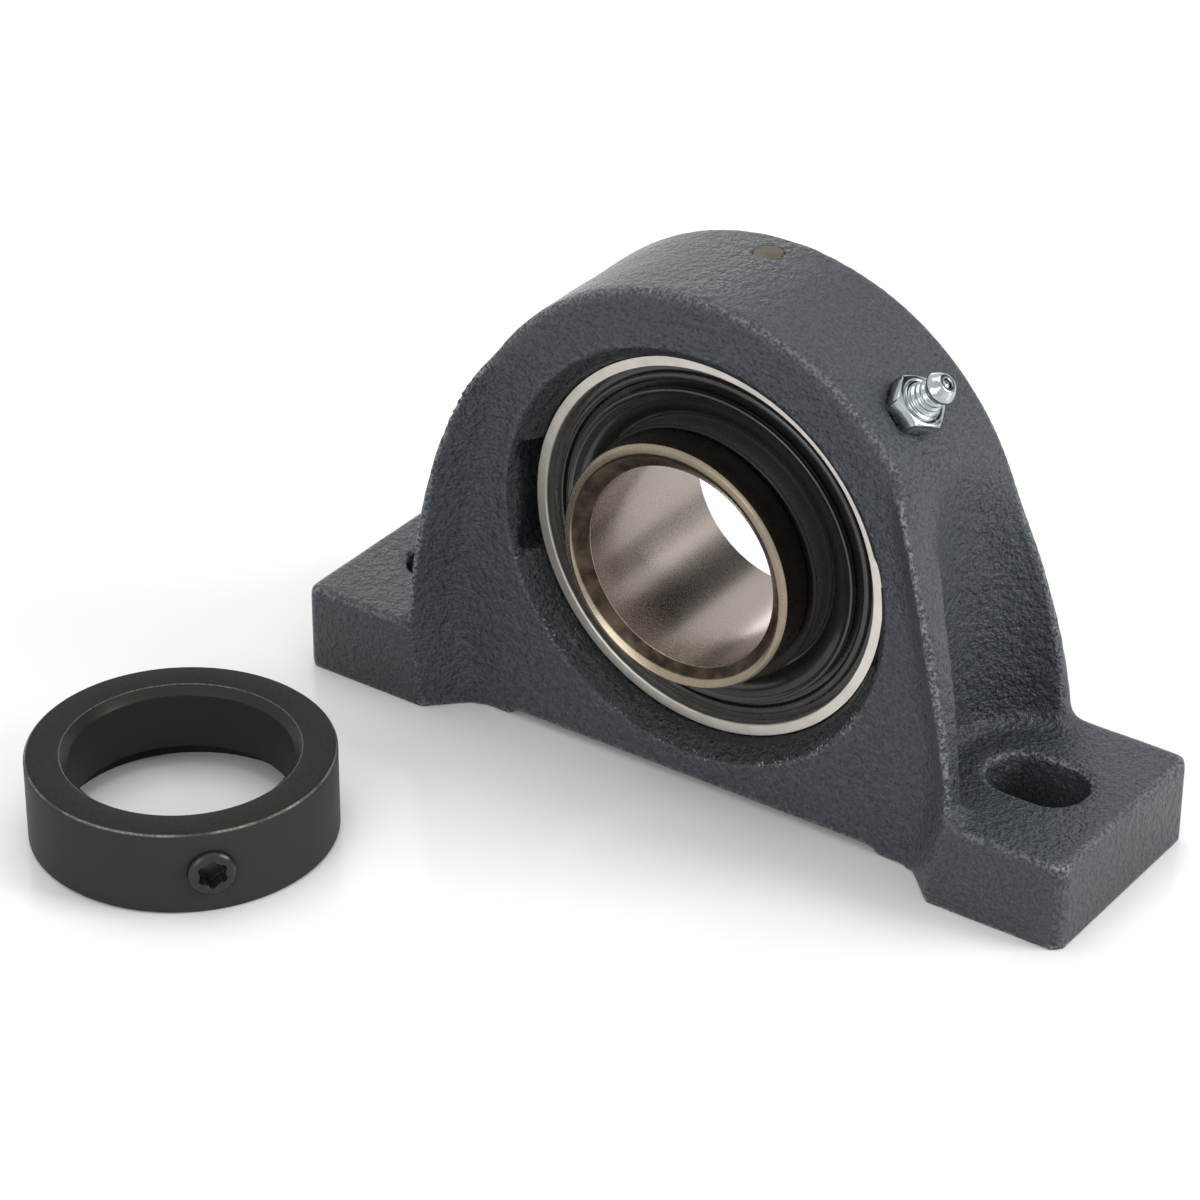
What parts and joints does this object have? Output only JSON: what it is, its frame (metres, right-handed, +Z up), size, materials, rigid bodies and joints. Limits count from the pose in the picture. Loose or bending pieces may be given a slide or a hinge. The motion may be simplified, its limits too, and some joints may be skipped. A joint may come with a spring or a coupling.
{
  "type": "pillow block bearing",
  "caption": "Self-aligning pillow block bearing with a cast base-mounted housing, shielded ball insert, grease nipple and a separate eccentric locking collar with set screw.",
  "frame": {"origin": "on the base plane, straight below the middle of the shaft bore and the outer ring", "axes": "+Z up, +Y along the shaft towards the rear of the housing, +X along the length of the base; the cam nose of the inner ring faces -Y"},
  "size_m": [0.1651, 0.1211, 0.0926],
  "materials": {
    "housing_paint": "charcoal paint over cast iron, fine orange-peel texture, worn lighter at the edges",
    "brass": "dull brass, ground flush",
    "zinc_plate": "bright zinc plate",
    "bearing_steel": "polished bearing steel",
    "spring_steel": "plain drawn wire",
    "ring_steel": "ground face, fine satin",
    "inner_ring_steel": "ground and slightly bronzed, satin bore",
    "shield_black": "black coated pressing, semi-gloss",
    "flinger_black": "black coated pressing, satin",
    "seal_rubber": "nitrile rubber",
    "cage_steel": "pressed strip steel",
    "collar_black_oxide": "black oxide, turned, satin",
    "screw_black_oxide": "black oxide, slightly oily"
  },
  "bodies": {
    "housing": {"housing": "housing_paint", "locating_pin": "brass", "grease_nipple_body": "zinc_plate", "grease_nipple_spring": "spring_steel"},
    "nipple_ball": {"grease_nipple_check_ball": "bearing_steel"},
    "outer_ring": {"outer_ring": "ring_steel", "front_seal_shell": "shield_black", "front_seal_lip": "seal_rubber", "rear_seal_shell": "shield_black", "rear_seal_lip": "seal_rubber"},
    "inner_ring": {"inner_ring": "inner_ring_steel", "front_flinger": "flinger_black", "rear_flinger": "flinger_black"},
    "cage": {"cage_front_half": "cage_steel", "cage_rear_half": "cage_steel", "cage_rivets": "cage_steel"},
    "locking_collar": {"locking_collar": "collar_black_oxide"},
    "set_screw": {"collar_set_screw": "screw_black_oxide"},
    "ball_1": {"ball_1": "bearing_steel"},
    "ball_2": {"ball_2": "bearing_steel"},
    "ball_3": {"ball_3": "bearing_steel"},
    "ball_4": {"ball_4": "bearing_steel"},
    "ball_5": {"ball_5": "bearing_steel"},
    "ball_6": {"ball_6": "bearing_steel"},
    "ball_7": {"ball_7": "bearing_steel"},
    "ball_8": {"ball_8": "bearing_steel"},
    "ball_9": {"ball_9": "bearing_steel"}
  },
  "joints": [
    {"name": "insert_tilt", "type": "hinge", "parent": "housing", "child": "outer_ring", "pos_m": [0, 0, 0.04445], "axis": [1, 0, 0], "range_deg": [-2.5, 2.5]},
    {"name": "shaft_spin", "type": "hinge", "parent": "outer_ring", "child": "inner_ring", "pos_m": [0, 0, 0.04445], "axis": [0, 1, 0], "continuous": true},
    {"name": "cage_spin", "type": "hinge", "parent": "outer_ring", "child": "cage", "pos_m": [0, 0, 0.04445], "axis": [0, 1, 0], "continuous": true},
    {"name": "ball_1_spin", "type": "hinge", "parent": "cage", "child": "ball_1", "pos_m": [0, 0, 0.0712], "axis": [0, 1, 0], "continuous": true},
    {"name": "ball_2_spin", "type": "hinge", "parent": "cage", "child": "ball_2", "pos_m": [-0.01719, 0, 0.06494], "axis": [0, 1, 0], "continuous": true},
    {"name": "ball_3_spin", "type": "hinge", "parent": "cage", "child": "ball_3", "pos_m": [-0.02634, 0, 0.04909], "axis": [0, 1, 0], "continuous": true},
    {"name": "ball_4_spin", "type": "hinge", "parent": "cage", "child": "ball_4", "pos_m": [-0.02317, 0, 0.03107], "axis": [0, 1, 0], "continuous": true},
    {"name": "ball_5_spin", "type": "hinge", "parent": "cage", "child": "ball_5", "pos_m": [-0.00915, 0, 0.01931], "axis": [0, 1, 0], "continuous": true},
    {"name": "ball_6_spin", "type": "hinge", "parent": "cage", "child": "ball_6", "pos_m": [0.00915, 0, 0.01931], "axis": [0, 1, 0], "continuous": true},
    {"name": "ball_7_spin", "type": "hinge", "parent": "cage", "child": "ball_7", "pos_m": [0.02317, 0, 0.03107], "axis": [0, 1, 0], "continuous": true},
    {"name": "ball_8_spin", "type": "hinge", "parent": "cage", "child": "ball_8", "pos_m": [0.02634, 0, 0.04909], "axis": [0, 1, 0], "continuous": true},
    {"name": "ball_9_spin", "type": "hinge", "parent": "cage", "child": "ball_9", "pos_m": [0.01719, 0, 0.06494], "axis": [0, 1, 0], "continuous": true},
    {"name": "check_ball_slide", "type": "slide", "parent": "housing", "child": "nipple_ball", "axis": [-0.7071, 0, -0.7071], "range_m": [0, 0.0008], "stiffness_N_per_m": 400, "springref_m": -0.001, "deforming": ["grease_nipple_spring"]},
    {"name": "collar_lift", "type": "slide", "parent": "housing", "child": "locking_collar", "axis": [0, 0, 1], "range_m": [0, 0.06]},
    {"name": "set_screw_travel", "type": "slide", "parent": "locking_collar", "child": "set_screw", "axis": [0.766, -0.6428, 0], "range_m": [-0.004, 0.003]}
  ],
  "couplings": [
    {"joint": "cage_spin", "follows": "shaft_spin", "ratio": 0.39615},
    {"joint": "ball_1_spin", "follows": "shaft_spin", "ratio": -2.3035},
    {"joint": "ball_2_spin", "follows": "shaft_spin", "ratio": -2.3035},
    {"joint": "ball_3_spin", "follows": "shaft_spin", "ratio": -2.3035},
    {"joint": "ball_4_spin", "follows": "shaft_spin", "ratio": -2.3035},
    {"joint": "ball_5_spin", "follows": "shaft_spin", "ratio": -2.3035},
    {"joint": "ball_6_spin", "follows": "shaft_spin", "ratio": -2.3035},
    {"joint": "ball_7_spin", "follows": "shaft_spin", "ratio": -2.3035},
    {"joint": "ball_8_spin", "follows": "shaft_spin", "ratio": -2.3035},
    {"joint": "ball_9_spin", "follows": "shaft_spin", "ratio": -2.3035}
  ]
}
